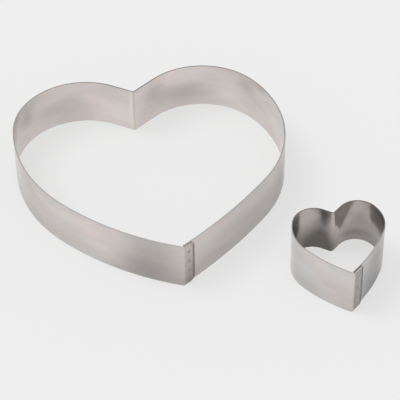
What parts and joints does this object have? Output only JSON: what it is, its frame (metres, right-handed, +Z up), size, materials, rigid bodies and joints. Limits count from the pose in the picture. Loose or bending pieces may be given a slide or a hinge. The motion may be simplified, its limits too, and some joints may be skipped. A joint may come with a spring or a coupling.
{
  "type": "heart cake ring",
  "caption": "Large and small heart-shaped cake rings, open at top and bottom: steel strip bent to a heart, lapped at the tip and spot-welded, to mould or cut cake.",
  "frame": {"origin": "on the table, under the middle of the pair's bounding box", "axes": "+Z up through the open rings, +X along the pair's longest extent from the large ring towards the small one, -Y towards the tips"},
  "size_m": [0.3138, 0.2616, 0.045],
  "materials": {
    "stainless_2b": "satin cold-rolled stainless steel sheet, softly reflective",
    "spot_weld": "dull heat-tinted weld nugget with a shallow electrode dent"
  },
  "bodies": {
    "large_ring": {"large_band": "stainless_2b", "large_spot_weld_1": "spot_weld", "large_spot_weld_2": "spot_weld", "large_spot_weld_3": "spot_weld"},
    "small_ring": {"small_band": "stainless_2b", "small_spot_weld_1": "spot_weld", "small_spot_weld_2": "spot_weld", "small_spot_weld_3": "spot_weld"}
  },
  "joints": [
    {"name": "small_ring_lift", "type": "slide", "parent": "large_ring", "child": "small_ring", "axis": [0, 0, 1], "range_m": [0, 0.06]}
  ]
}
